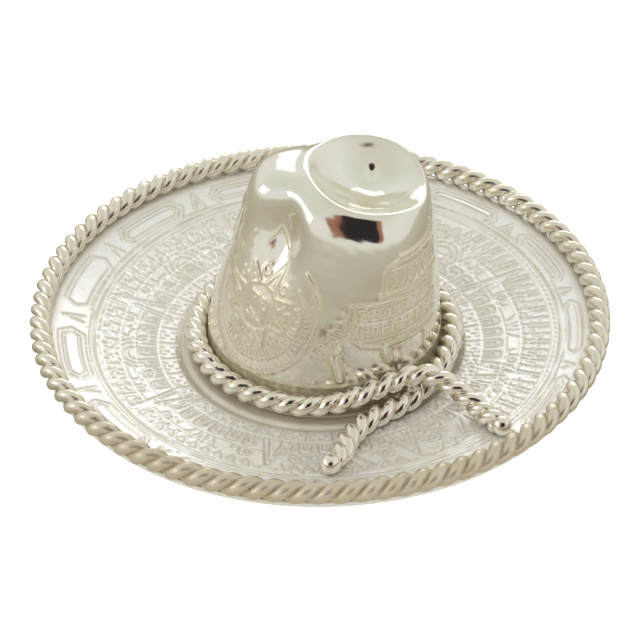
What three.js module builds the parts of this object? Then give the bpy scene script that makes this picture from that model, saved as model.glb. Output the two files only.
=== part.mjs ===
// A miniature sombrero in sterling silver, made as a silversmith makes it: a dished brim with a hole
// in the middle, a hollow crown pressed from sheet and standing on it, a rope of two twisted wires
// round the brim's edge, and a second rope tied round the foot of the crown as a hat band, with a
// melted ball on each of its two tails. Everything is soldered, so nothing moves.
//
// Millimetres, +Z up. The origin is under the middle of the brim, on the surface that the hat stands
// on. The band's tails lie on the -Y side, and the crown's narrow front end points to -X.
import * as THREE from 'three';

// Driving dimensions
const SHEET = 0.8; // thickness of the brim's silver sheet
const SOLDER = 0.05; // film of solder between two pieces

const BRIM = {
  holeRadius: 14.6, // the sheet is cut away under the crown
  flatRadius: 19.6, // flat ring that the hat stands on and the crown is soldered to
  slope: 0.0983, // rise per millimetre just outside the flat ring
  dish: 0.0074, // growth of that rise, per millimetre squared
  shelfInner: 36.6, // level shelf that carries the edge rope
  shelfTop: 4.72,
  outerRadius: 38.7,
  slopeSteps: 9,
  segments: 60,
};

const CROWN = {
  height: 29.7,
  wall: 0.9,
  footThickness: 0.55,
  footRadius: 17.6, // reach of the flange under the band
  centreX: 0.6,
  centreY: 0.25,
  left: 15.7, // reach towards -X at the foot
  leftIn: 6.4, // how far the left side comes in towards the top
  right: 16.9,
  rightIn: 1.5,
  rightRound: 1,
  side: 15.95, // half width across Y at the foot
  sideIn: 1.4,
  sideRound: 3.8,
  pear: 0.28, // how much fatter the right end is than the left, at the top
  square: 0.3, // how much squarer than an ellipse the plan is, at the top
  edgePower: 3.4, // roundness of the shoulder in plan
  topPower: 20, // roundness of the shoulder in height
  tiltY: -0.02, // the top leans a little towards +Y
  tiltX: 0.1, // and falls from the left end to the right
  segments: 56,
};

const DENT = { x: 6.6, y: -0.6, rx: 8.2, ry: 9.4, depth: 4.3, power: 1.2, skew: 0.35 };
const DENT_RIM = { height: 0.45, width: 0.13 }; // the ridge round the dent; its width is a part of the dent's
const PINCHES = [
  { x: -5.6, y: -8.8, z: 25.6, amount: 3.2 },
  { x: -1.5, y: 9.6, z: 25.5, amount: 1.4 },
];
const PINCH_SIZE = { left: 4.2, right: 2.7, y: 3.9, z: 6.4 };
const PINCH_PUSH = { x: 0.45, y: 0.66, z: 0.5 };

const WIRE = { radius: 0.7, offset: 0.85, sides: 6, stepsPerTurn: 6 };
const EDGE_ROPE = { radius: 38.45, height: 6.3, turns: 43.5, seamDegrees: 43, seamGap: 0.5 };
const BAND_ROPE = { centreX: 0.6, centreY: 0.2, radiusX: 17.85, radiusY: 17.5, height: 2.95, lay: 5.25 };
const BALL_RADIUS = 1.4;
const LEFT_BALL = new THREE.Vector3(1.27, -30.6, 4.25);
const RIGHT_BALL = new THREE.Vector3(23.78, -24.25, 5.2);

const silver = (color, roughness) => new THREE.MeshStandardMaterial({ color, roughness, metalness: 1 });
const brimSilver = silver(0xe4e2da, 0.24);
const crownSilver = silver(0xdcd9cc, 0.14);
const ropeSilver = silver(0xd8d2bc, 0.2);

// Height of the brim's upper face at a distance from the axis
function brimTop(radius) {
  if (radius >= BRIM.shelfInner) return BRIM.shelfTop;
  const s = Math.max(0, radius - BRIM.flatRadius);
  return SHEET + BRIM.slope * s + BRIM.dish * s * s;
}

// The brim: one sheet profile turned round the axis
function makeBrim() {
  const slopeWidth = BRIM.shelfInner - BRIM.flatRadius;
  const slope = Array.from({ length: BRIM.slopeSteps + 1 }, (_, i) => {
    const radius = BRIM.flatRadius + (slopeWidth * i) / BRIM.slopeSteps - (i === BRIM.slopeSteps ? 0.01 : 0);
    return new THREE.Vector2(radius, brimTop(radius));
  });
  const top = [
    new THREE.Vector2(BRIM.holeRadius, SHEET),
    ...slope,
    new THREE.Vector2(BRIM.shelfInner + 0.3, BRIM.shelfTop),
    new THREE.Vector2(BRIM.outerRadius, BRIM.shelfTop),
  ];
  const under = top.map((p) => new THREE.Vector2(p.x, p.y - SHEET));
  const profile = [...under, ...top.reverse(), under[0].clone()];
  const brim = new THREE.LatheGeometry(profile, BRIM.segments);
  return brim.rotateX(Math.PI / 2);
}

const smoothstep = THREE.MathUtils.smoothstep;

// A point of the crown's outer skin, or of a skin set in by inset from it. Angle goes round the axis
// from +X, spread is the distance from the middle as a part of the wall's and rise the height as a part
// of the crown's.
function crownPoint(angle, spread, rise, inset = 0) {
  const ease = smoothstep(rise, 0, 1);
  const left = CROWN.left - CROWN.leftIn * ease;
  const right = CROWN.right - CROWN.rightIn * rise - CROWN.rightRound * rise ** 3;
  const side = CROWN.side - CROWN.sideIn * rise - CROWN.sideRound * rise ** 2 - inset;
  const reach = (left + right) / 2 - inset;
  const squared = (part) => Math.sign(part) * Math.abs(part) ** (2 / (2 + CROWN.square * ease));
  const towardsX = squared(Math.cos(angle));
  const towardsY = squared(Math.sin(angle)) * (1 + CROWN.pear * ease * towardsX);
  const p = new THREE.Vector3(
    (right - left) / 2 + reach * spread * towardsX,
    CROWN.centreY * (1 - rise) + side * spread * towardsY,
    SHEET + SOLDER + (CROWN.height - inset) * rise,
  );
  p.z += rise ** 4 * (CROWN.tiltY * p.y - CROWN.tiltX * (p.x + 4));

  const dentX = (p.x - DENT.x) / DENT.rx;
  const dentY = (p.y - DENT.y) / DENT.ry;
  const bowl = Math.max(0, 1 - dentX ** 2 - dentY ** 2) ** DENT.power * (1 + DENT.skew * dentY);
  const ridge = Math.exp(-(((Math.hypot(dentX, dentY) - 1) / DENT_RIM.width) ** 2));
  p.z += smoothstep(rise, 0.78, 0.92) * (DENT_RIM.height * ridge - DENT.depth * bowl);

  for (const pinch of PINCHES) {
    const away = new THREE.Vector3(
      (p.x - pinch.x) / (p.x > pinch.x ? PINCH_SIZE.right : PINCH_SIZE.left),
      (p.y - pinch.y) / PINCH_SIZE.y,
      (p.z - pinch.z) / PINCH_SIZE.z,
    );
    const push = pinch.amount * Math.exp(-away.lengthSq());
    p.x += push * PINCH_PUSH.x;
    p.y -= push * PINCH_PUSH.y * Math.sign(pinch.y);
    p.z -= push * PINCH_PUSH.z;
  }
  return p;
}

// The crown: a turned shell whose stations are then moved onto the pinched and dented shape
function makeCrown() {
  const { edgePower, topPower, height, footThickness, wall } = CROWN;
  const onArc = (turn) => ({
    spread: Math.cos(turn) ** (2 / edgePower),
    rise: Math.sin(turn) ** (2 / topPower),
  });
  const wallRises = [0.18, 0.34, 0.5, 0.64, 0.76, 0.85];
  const wallStations = wallRises.map((rise) => ({ spread: (1 - rise ** topPower) ** (1 / edgePower), rise }));
  const topTurns = [0.62, 0.8, 0.98, 1.14, 1.27, 1.38, 1.48, Math.PI / 2];
  const topStations = topTurns.map((turn) => (turn === Math.PI / 2 ? { spread: 0, rise: 1 } : onArc(turn)));
  const skin = [...wallStations, ...topStations];

  const outside = skin.map((s) => ({ ...s, inset: 0 }));
  const inside = [...skin].reverse().map((s) => ({ ...s, inset: wall }));
  const foot = footThickness / height;
  const stations = [
    ...inside,
    { spread: 1, rise: 0, inset: wall },
    { flange: CROWN.footRadius, rise: 0 },
    { flange: CROWN.footRadius, rise: foot },
    { spread: 1, rise: foot, inset: 0 },
    ...outside,
  ];

  const blank = stations.map((s) => new THREE.Vector2((s.spread ?? 1.1) * CROWN.side, s.rise * height));
  const shell = new THREE.LatheGeometry(blank, CROWN.segments);
  const position = shell.attributes.position;
  for (let segment = 0; segment <= CROWN.segments; segment += 1) {
    const angle = (2 * Math.PI * (segment % CROWN.segments)) / CROWN.segments;
    stations.forEach((s, station) => {
      const p = s.flange
        ? new THREE.Vector3(
            CROWN.centreX + s.flange * Math.cos(angle),
            CROWN.centreY + s.flange * Math.sin(angle),
            SHEET + SOLDER + s.rise * height,
          )
        : crownPoint(angle, s.spread, s.rise, s.inset);
      position.setXYZ(segment * stations.length + station, p.x, p.y, p.z);
    });
  }
  return shell;
}

// The middle line of the edge rope: a level ring, open at its soldered seam
class RingLine extends THREE.Curve {
  constructor(radius, height, startAngle, sweep) {
    super();
    Object.assign(this, { radius, height, startAngle, sweep });
  }

  getPoint(t) {
    const angle = this.startAngle + this.sweep * t;
    return new THREE.Vector3(this.radius * Math.cos(angle), this.radius * Math.sin(angle), this.height);
  }
}

// The middle line of the band rope: from the left ball, under the crossing, round the foot of the
// crown, over the crossing and down to the right ball
function makeBandLine() {
  const at = (x, y, z) => new THREE.Vector3(x, y, z);
  const leftTail = [
    at(1.95, -29.2, 3.98), at(2.7, -27.6, 3.62), at(3.65, -24.2, 2.98), at(5.05, -21.4, 2.6),
    at(6.78, -19.2, 2.4), at(8.65, -17.8, 2.38), at(10.5, -16.45, 2.38), at(12.4, -14.8, 2.45),
    at(14.1, -12.4, 2.72), at(16.05, -9.2, 2.95),
  ];
  const ringFrom = -17;
  const ringTo = 255;
  const ringPoints = 25;
  const ring = Array.from({ length: ringPoints }, (_, i) => {
    const angle = THREE.MathUtils.degToRad(ringFrom + ((ringTo - ringFrom) * i) / (ringPoints - 1));
    const { centreX, centreY, radiusX, radiusY, height } = BAND_ROPE;
    return at(centreX + radiusX * Math.cos(angle), centreY + radiusY * Math.sin(angle), height);
  });
  const rightTail = [
    at(-1.9, -17.22, 3.0), at(0.5, -17.35, 3.3), at(2.75, -17.3, 3.75), at(4.8, -16.9, 4.2),
    at(6.9, -16.05, 4.5), at(9.0, -15.0, 4.8), at(11.15, -14.15, 5.2), at(13.1, -13.85, 5.55),
    at(14.85, -14.1, 5.6), at(16.5, -14.8, 5.2), at(18.35, -16.0, 4.5), at(20.05, -17.7, 4.0),
    at(21.5, -19.9, 4.05), at(22.5, -21.9, 4.5), at(23.0, -22.9, 4.78),
  ];
  return new THREE.CatmullRomCurve3([...leftTail, ...ring, ...rightTail], false, 'centripetal');
}

// One wire of a rope: it winds round the rope's middle line
class WireLine extends THREE.Curve {
  constructor(middle, turns, startTurn) {
    super();
    Object.assign(this, { middle, turns, startTurn });
  }

  getPoint(t) {
    const along = this.middle.getTangentAt(t);
    const outwards = new THREE.Vector3(0, 0, 1).cross(along).negate().normalize();
    const upwards = new THREE.Vector3().crossVectors(outwards, along);
    const turn = 2 * Math.PI * (this.startTurn + this.turns * t);
    return this.middle
      .getPointAt(t)
      .addScaledVector(outwards, WIRE.offset * Math.cos(turn))
      .addScaledVector(upwards, WIRE.offset * Math.sin(turn));
  }
}

// A wire's solid: its round section, drawn with a few sides, along its line
function makeWire(middle, turns, startTurn) {
  const steps = Math.round(turns * WIRE.stepsPerTurn);
  const line = new WireLine(middle, turns, startTurn);
  line.arcLengthDivisions = steps * 4;
  const section = new THREE.Shape(
    Array.from({ length: WIRE.sides }, (_, i) => {
      const angle = (2 * Math.PI * i) / WIRE.sides;
      return new THREE.Vector2(WIRE.radius * Math.cos(angle), WIRE.radius * Math.sin(angle));
    }),
  );
  return new THREE.ExtrudeGeometry(section, { steps, extrudePath: line, bevelEnabled: false });
}

const sombrero = new THREE.Group();

function add(name, geometry, material, place) {
  const mesh = new THREE.Mesh(geometry, material);
  mesh.name = name;
  if (place) mesh.position.copy(place);
  sombrero.add(mesh);
}

add('brim', makeBrim(), brimSilver);
add('crown', makeCrown(), crownSilver);

const seamAngle = THREE.MathUtils.degToRad(EDGE_ROPE.seamDegrees);
const halfGap = EDGE_ROPE.seamGap / 2 / EDGE_ROPE.radius;
const edgeLine = new RingLine(
  EDGE_ROPE.radius,
  EDGE_ROPE.height,
  seamAngle + halfGap,
  2 * Math.PI - 2 * halfGap,
);
add('edge_wire_1', makeWire(edgeLine, EDGE_ROPE.turns, 0), ropeSilver);
add('edge_wire_2', makeWire(edgeLine, EDGE_ROPE.turns, 0.5), ropeSilver);

const bandLine = makeBandLine();
const bandTurns = bandLine.getLength() / BAND_ROPE.lay;
add('band_wire_1', makeWire(bandLine, bandTurns, 0), ropeSilver);
add('band_wire_2', makeWire(bandLine, bandTurns, 0.5), ropeSilver);

const ball = () => new THREE.SphereGeometry(BALL_RADIUS, 16, 10);
add('band_ball_left', ball(), ropeSilver, LEFT_BALL);
add('band_ball_right', ball(), ropeSilver, RIGHT_BALL);

export default sombrero;
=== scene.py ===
"""A miniature sombrero in sterling silver.

The brim is a dished sheet, stamped all over with rings, rays and glyph-like strokes. The crown is a
hollow shell, pinched at the front and dented on top, with a sun dial and a stepped temple stamped on
its wall. A rope of two twisted wires runs round the brim's edge, and a second one is tied round the
foot of the crown as a hat band, with a melted ball on each tail. Sizes here are in millimetres.
"""

import logging
import math
from dataclasses import dataclass, field
from enum import Enum
from typing import Sequence, Union

import bpy
import numpy as np
from mathutils import Matrix, Vector


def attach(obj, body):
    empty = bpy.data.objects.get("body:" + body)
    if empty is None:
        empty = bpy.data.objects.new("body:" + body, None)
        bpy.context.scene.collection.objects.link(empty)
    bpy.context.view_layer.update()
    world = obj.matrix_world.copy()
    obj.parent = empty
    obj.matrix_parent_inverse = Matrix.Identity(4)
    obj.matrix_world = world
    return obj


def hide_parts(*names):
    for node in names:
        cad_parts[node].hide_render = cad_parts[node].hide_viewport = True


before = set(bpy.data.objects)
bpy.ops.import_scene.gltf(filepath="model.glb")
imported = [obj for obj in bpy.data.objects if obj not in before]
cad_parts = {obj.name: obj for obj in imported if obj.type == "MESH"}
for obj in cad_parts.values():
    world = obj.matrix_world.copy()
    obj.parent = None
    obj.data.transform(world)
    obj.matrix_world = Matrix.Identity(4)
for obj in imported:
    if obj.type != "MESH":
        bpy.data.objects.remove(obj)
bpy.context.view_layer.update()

log = logging.getLogger("sombrero")

MM = 0.001  # metres in a millimetre
TURN = 2.0 * math.pi  # radians in a whole turn
TARNISH_AND_SHADE = "tarnish"  # mesh attribute, from 0 to 1: tarnish in grooves and hollows, and painted shade on undersides, on the edge rope's front and round the feet of the ropes
SHEET = 0.8  # thickness of the brim's silver sheet
SOLDER_FILM = 0.05  # solder between the brim and the crown
SHARPEST_SMOOTH = math.radians(60.0)  # edges sharper than this are shaded as edges

Number = Union[float, "Value"]
Point = tuple[float, float]
Triple = tuple[float, float, float]  # a place, a size or a colour
Colour = Union[Triple, bpy.types.NodeSocket]
Blank = tuple[bpy.types.Object, np.ndarray, np.ndarray]  # a piece, and two whole numbers for each vertex


# ----------------------------------------
# Helpers for numbers and meshes
# ----------------------------------------


def smoothstep(value: np.ndarray) -> np.ndarray:
    """Eases a value between 0 and 1, and holds it there outside.

    Args:
        value: Numbers of any size.

    Returns:
        The eased numbers, from 0 to 1.
    """
    held = np.clip(value, 0.0, 1.0)
    return held * held * (3.0 - 2.0 * held)


def unit(vectors: np.ndarray) -> np.ndarray:
    """Scales vectors in the last axis to length 1."""
    return vectors / np.maximum(np.linalg.norm(vectors, axis=-1, keepdims=True), 1e-12)


def turned(degrees: Union[float, np.ndarray], other: float) -> Union[float, np.ndarray]:
    """Gives the angle between two bearings, from 0 to 180 degrees."""
    return abs((degrees - other + 180.0) % 360.0 - 180.0)


def polar(degrees: float, radius: float) -> Point:
    """Gives the flat place at an angle and a radius."""
    turn = math.radians(degrees)
    return radius * math.cos(turn), radius * math.sin(turn)


@dataclass(frozen=True)
class Ripples:
    """Soft random waviness, as hand work leaves in metal."""

    height: float
    size: float  # length of the waves
    seed: int  # picks one pattern of waves
    waves: int = 14

    def over(self, points: np.ndarray) -> np.ndarray:
        """Adds up plane waves that run in random directions.

        Args:
            points: Places in millimetres, with x, y and z in the last axis.

        Returns:
            A number for each point, mostly within the height on both sides of 0.
        """
        dice = np.random.default_rng(self.seed)
        total = np.zeros(points.shape[:-1])
        for _ in range(self.waves):
            direction = unit(dice.normal(size=3)) * dice.uniform(0.7, 1.4) * TURN / self.size
            total += np.sin(points @ direction + dice.uniform(0.0, TURN))
        return self.height * (total / math.sqrt(self.waves))


def soften(heights: np.ndarray, passes: int) -> np.ndarray:
    """Blurs a closed band of heights, which joins up along its first axis.

    Args:
        heights: Heights over a grid.
        passes: How many times each point is averaged with its neighbours.

    Returns:
        The blurred heights.
    """
    out = heights.copy()
    for _ in range(passes):
        out = 0.5 * out + 0.25 * (np.roll(out, 1, axis=0) + np.roll(out, -1, axis=0))
        padded = np.concatenate([out[:, :1], out, out[:, -1:]], axis=1)
        out = 0.5 * out + 0.25 * (padded[:, :-2] + padded[:, 2:])
    return out


def stroke_feet(heights: np.ndarray) -> np.ndarray:
    """Tells where tarnish gathers: in the hollows and on the flanks of raised strokes.

    Args:
        heights: Heights of the strokes over a grid, in millimetres.

    Returns:
        Amounts from 0 to 1.
    """
    full_hollow, full_flank = 0.03, 0.16  # depth and rise between neighbours that hold all the tarnish
    hollow = soften(heights, 2) - heights
    around = np.roll(heights, -1, axis=0) - np.roll(heights, 1, axis=0)
    across = np.gradient(heights, axis=1) * 2.0
    flank = np.hypot(around, across)
    return np.clip(hollow / full_hollow, 0.0, 1.0) * 0.55 + np.clip(flank / full_flank, 0.0, 1.0) * 0.45


def grid_normals(points: np.ndarray) -> np.ndarray:
    """Works out outward normals of a surface that closes along its first axis.

    Args:
        points: Places with axes (round, station, xyz); stations run inwards or down over the outside.

    Returns:
        Unit normals in the same layout.
    """
    around = np.roll(points, -1, axis=0) - np.roll(points, 1, axis=0)
    across = np.gradient(points, axis=1)
    return unit(np.cross(across, around))


def deselect_all() -> None:
    """Leaves nothing selected, so that an operator acts on its own piece only."""
    bpy.ops.object.select_all(action="DESELECT")


def read_vertices(piece: bpy.types.Object) -> np.ndarray:
    """Reads a mesh's vertex places, in metres, as an array of shape (count, 3)."""
    places = np.empty(len(piece.data.vertices) * 3, np.float32)
    piece.data.vertices.foreach_get("co", places)
    return places.reshape(-1, 3).astype(float)


def place_vertices(piece: bpy.types.Object, places: np.ndarray) -> None:
    """Moves a mesh's vertices.

    Args:
        piece: The mesh object.
        places: New places in millimetres, one row for each vertex.
    """
    piece.data.vertices.foreach_set("co", (places * MM).astype(np.float32).ravel())
    piece.data.update()


def mark_tarnish_and_shade(piece: bpy.types.Object, amounts: np.ndarray) -> None:
    """Stores each vertex's tarnish and painted shade, from 0 to 1, for the finish to read."""
    layer = piece.data.attributes.new(TARNISH_AND_SHADE, "FLOAT", "POINT")
    layer.data.foreach_set("value", np.clip(amounts, 0.0, 1.0).astype(np.float32))


def smooth_shade(piece: bpy.types.Object) -> None:
    """Shades a piece smoothly over its rounded faces."""
    deselect_all()
    bpy.context.view_layer.objects.active = piece
    piece.select_set(True)
    bpy.ops.object.shade_smooth_by_angle(angle=SHARPEST_SMOOTH)


def whole_steps(sine: np.ndarray, cosine: np.ndarray, count: int) -> np.ndarray:
    """Numbers places round a circle, in whole steps from 0 to count less 1."""
    return np.rint(np.arctan2(sine, cosine) / TURN * count).astype(int) % count


def add_ring_blank(name: str, around: int, stations: int) -> Blank:
    """Adds a ring, rolled up from a grid, whose rows are later moved onto a turned profile.

    Args:
        name: Name of the piece.
        around: Vertices round the axis.
        stations: Vertices round the section, from the outermost one upwards and inwards.

    Returns:
        The piece, and each vertex's place in the two rows.
    """
    deselect_all()
    bpy.ops.mesh.primitive_grid_add(x_subdivisions=around, y_subdivisions=stations, size=2.0)
    piece = bpy.context.active_object
    piece.name = piece.data.name = name
    rolled = (read_vertices(piece)[:, :2] + 1.0) * math.pi
    reach = 1.0 + 0.5 * np.cos(rolled[:, 1])
    ring = [reach * np.cos(rolled[:, 0]), reach * np.sin(rolled[:, 0]), 0.5 * np.sin(rolled[:, 1])]
    place_vertices(piece, np.stack(ring, axis=1) / MM)
    bpy.ops.object.mode_set(mode="EDIT")
    bpy.ops.mesh.select_all(action="SELECT")
    bpy.ops.mesh.remove_doubles(threshold=0.0001)
    bpy.ops.object.mode_set(mode="OBJECT")
    x, y, z = read_vertices(piece).T
    return piece, whole_steps(y, x, around), whole_steps(z, np.hypot(x, y) - 1.0, stations)


def add_ball(name: str, around: int, rings: int) -> tuple[bpy.types.Object, np.ndarray]:
    """Adds a ball of radius 1, and reads where its vertices are."""
    deselect_all()
    bpy.ops.mesh.primitive_uv_sphere_add(segments=around, ring_count=rings, radius=1.0)
    piece = bpy.context.active_object
    piece.name = piece.data.name = name
    return piece, read_vertices(piece)


def add_shell_blank(name: str, around: int, rings: int) -> Blank:
    """Adds a ball whose rings of vertices are later moved onto a closed shape with two poles.

    Args:
        name: Name of the piece.
        around: Vertices in each ring.
        rings: Steps from the upper pole to the lower one.

    Returns:
        The piece, and each vertex's place round its ring and the number of its ring.
    """
    piece, places = add_ball(name, around, rings)
    fall = np.arccos(np.clip(places[:, 2], -1.0, 1.0)) / math.pi * rings
    return piece, whole_steps(places[:, 1], places[:, 0], around), np.rint(fall).astype(int)


# ----------------------------------------
# Finishes
# ----------------------------------------


class Value:
    """A number that varies over a surface: a node socket with ordinary arithmetic."""

    def __init__(self, builder: "FinishBuilder", socket: bpy.types.NodeSocket) -> None:
        """Wraps a socket of the builder's node tree."""
        self.builder = builder
        self.socket = socket

    def _math(self, operation: str, *inputs: Number, clamp: bool = False) -> "Value":
        """Adds one Math node and wraps its result."""
        settings = {"operation": operation, "use_clamp": clamp}
        return self.builder.node("ShaderNodeMath", settings, dict(enumerate(inputs))).value()

    def __add__(self, other: Number) -> "Value":
        """Adds."""
        return self._math("ADD", self, other)

    __radd__ = __add__

    def __sub__(self, other: Number) -> "Value":
        """Takes other away."""
        return self._math("SUBTRACT", self, other)

    def __rsub__(self, other: Number) -> "Value":
        """Takes this away from other."""
        return self._math("SUBTRACT", other, self)

    def __mul__(self, other: Number) -> "Value":
        """Multiplies."""
        return self._math("MULTIPLY", self, other)

    __rmul__ = __mul__

    def held(self) -> "Value":
        """Keeps the value between 0 and 1."""
        return self._math("ADD", self, 0.0, clamp=True)


class Made:
    """A node that was made, with its outputs at hand."""

    def __init__(self, builder: "FinishBuilder", node: bpy.types.Node) -> None:
        """Keeps the node and the tree it is in."""
        self.builder = builder
        self.node = node

    def value(self, output: Union[str, int] = 0) -> Value:
        """Wraps an output as a number."""
        return Value(self.builder, self.node.outputs[output])

    def out(self, output: Union[str, int] = 0) -> bpy.types.NodeSocket:
        """Gives an output as it is, for colours, vectors and shaders."""
        return self.node.outputs[output]


class FinishBuilder:
    """Builds the node tree of one material or of the world."""

    def __init__(self, tree: bpy.types.NodeTree) -> None:
        """Empties the tree and starts afresh."""
        self.tree = tree
        tree.nodes.clear()

    def node(self, kind: str, settings: dict | None = None, inputs: dict | None = None) -> Made:
        """Adds a node.

        Args:
            kind: The node's type name.
            settings: Properties to set first; "stops" fills a colour ramp.
            inputs: Values, or links from other nodes, by socket name or number.

        Returns:
            The node, wrapped.
        """
        made = self.tree.nodes.new(kind)
        for name, setting in (settings or {}).items():
            if name == "stops":
                self._fill_ramp(made.color_ramp, setting)
            else:
                setattr(made, name, setting)
        for name, given in (inputs or {}).items():
            socket = made.inputs[name]
            source = given.socket if isinstance(given, Value) else given
            if isinstance(source, bpy.types.NodeSocket):
                self.tree.links.new(source, socket)
            else:
                socket.default_value = source
        return Made(self, made)

    @staticmethod
    def _fill_ramp(ramp: bpy.types.ColorRamp, stops: Sequence[tuple[float, tuple]]) -> None:
        """Sets a colour ramp's stops from (place, colour) pairs."""
        while len(ramp.elements) < len(stops):
            ramp.elements.new(1.0)
        for element, (place, colour) in zip(ramp.elements, stops):
            element.position = place
            element.color = colour

    def mix(self, factor: Value, first: Colour, second: Triple) -> bpy.types.NodeSocket:
        """Mixes two colours, of which the first may be another node's."""
        first = first if isinstance(first, bpy.types.NodeSocket) else (*first, 1.0)
        inputs = {0: factor, 6: first, 7: (*second, 1.0)}  # the colour sockets of a node that has many
        return self.node("ShaderNodeMix", {"data_type": "RGBA"}, inputs).out(2)

    def noise(self, scale: float, detail: float, stretch: Triple = (1.0, 1.0, 1.0)) -> Value:
        """Adds noise on the piece's own coordinates.

        Args:
            scale: How many features there are in a metre.
            detail: Octaves of finer noise.
            stretch: Factors on the three axes.

        Returns:
            The noise, around 0.5.
        """
        place = self.node("ShaderNodeTexCoord").out("Object")
        if stretch != (1.0, 1.0, 1.0):
            place = self.node("ShaderNodeMapping", {}, {"Vector": place, "Scale": stretch}).out()
        inputs = {"Vector": place, "Scale": scale, "Detail": detail}
        return self.node("ShaderNodeTexNoise", {}, inputs).value("Fac")


def start_material(name: str) -> tuple[bpy.types.Material, FinishBuilder]:
    """Adds a material, and empties its node tree for building."""
    material = bpy.data.materials.new(name)
    material.use_nodes = True
    return material, FinishBuilder(material.node_tree)


@dataclass(frozen=True)
class SilverFinish:
    """Sterling silver, polished on its high places, with tarnish in its grooves and painted shade laid on in
    the tarnish colour.
    """

    name: str
    slot: str
    colour: Triple
    shade: Triple
    # colour of tarnish, also used for painted shade
    tarnish: Triple
    roughness: float
    roughness_spread: float = 0.10
    tarnish_roughness: float = 0.25
    tarnish_gain: float = 1.0
    metallic: float = 1.0
    tarnish_mattness: float = 0.55
    pitting: float = 0.000004
    waviness: float = 0.000012
    patches: tuple = (230.0, 3.0)  # features in a metre and octaves, here and below
    specks: tuple = (1500.0, 4.0)
    hairlines: tuple = (900.0, 5.0, (1.0, 6.0, 1.0))

    def make(self) -> bpy.types.Material:
        """Builds the material.

        Returns:
            The material, ready to be put on a piece.
        """
        material, build = start_material(self.name)
        groove_and_shade = build.node("ShaderNodeAttribute", {"attribute_name": TARNISH_AND_SHADE}).value("Fac")
        patches = build.noise(*self.patches)
        specks = build.noise(*self.specks)
        hairlines = build.noise(*self.hairlines)
        # Tarnish and painted shade, read from the attribute, pull the colour towards the tarnish colour
        tarnished_and_shaded = (groove_and_shade * self.tarnish_gain * (0.55 + patches * 0.6 + specks * 0.35) - 0.08).held()

        shaded = build.mix((patches * 1.6 - 0.5 + specks * 0.25).held(), self.colour, self.shade)
        colour = build.mix(tarnished_and_shaded, shaded, self.tarnish)
        scuffed = (hairlines - 0.42) * self.roughness_spread
        roughness = (self.roughness + scuffed + tarnished_and_shaded * self.tarnish_roughness).held()
        metallic = (self.metallic - tarnished_and_shaded * self.tarnish_mattness).held()
        height = hairlines * 0.35 + specks * 0.65
        pits = {"Strength": 1.0, "Distance": self.pitting, "Height": height}
        waves = {"Strength": 1.0, "Distance": self.waviness, "Height": patches}
        fine = build.node("ShaderNodeBump", {}, pits).out()
        broad = build.node("ShaderNodeBump", {}, {**waves, "Normal": fine}).out()
        looks = {"Base Color": colour, "Metallic": metallic, "Roughness": roughness, "Normal": broad}
        shader = build.node("ShaderNodeBsdfPrincipled", {}, looks)
        build.node("ShaderNodeOutputMaterial", {}, {"Surface": shader.out()})
        return material

    def dress(self, piece: bpy.types.Object) -> None:
        """Puts the finish on a piece."""
        material = bpy.data.materials.get(self.name) or self.make()
        piece.data.materials.clear()
        piece.data.materials.append(material)


BRIM_SILVER = SilverFinish(
    "stamped_silver",
    "brim_silver",
    colour=(0.965, 0.965, 0.975),
    shade=(0.90, 0.895, 0.875),
    tarnish=(0.56, 0.51, 0.38),
    roughness=0.28,
    tarnish_roughness=0.1,
    tarnish_gain=0.75,
    metallic=0.5,
    tarnish_mattness=0.2,
    pitting=0.000005,
)
CROWN_SILVER = SilverFinish(
    "spun_silver",
    "crown_silver",
    colour=(0.93, 0.92, 0.86),
    shade=(0.86, 0.84, 0.74),
    tarnish=(0.64, 0.57, 0.39),
    roughness=0.10,
    roughness_spread=0.06,
    pitting=0.000002,
    waviness=0.000006,
)
BAND_SILVER = SilverFinish(
    "wire_silver",
    "rope_silver",
    colour=(0.96, 0.93, 0.86),
    shade=(0.88, 0.83, 0.71),
    tarnish=(0.68, 0.60, 0.41),
    roughness=0.15,
    tarnish_roughness=0.15,
)
# The edge rope's wire: the same silver as the band's with darker colours and tarnish as painted shade, and
# rougher.
EDGE_SILVER = SilverFinish(
    "wire_silver_painted_shade",
    "rope_silver",
    colour=(0.93, 0.90, 0.81),
    shade=(0.84, 0.79, 0.66),
    tarnish=(0.52, 0.43, 0.28),
    roughness=0.24,
    tarnish_roughness=0.12,
)


def finish_piece(piece: bpy.types.Object, finish: SilverFinish, *nodes: str) -> None:
    """Dresses a piece, fixes it to the hat and lets it stand for its CAD nodes.

    Args:
        piece: The finished mesh.
        finish: Its silver.
        nodes: Names of the CAD nodes that it stands for.
    """
    smooth_shade(piece)
    finish.dress(piece)
    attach(piece, "root")
    if nodes:
        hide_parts(*nodes)
    log.info("%s: %d faces", piece.name, len(piece.data.polygons))


# ----------------------------------------
# Stamped patterns
# ----------------------------------------


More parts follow.
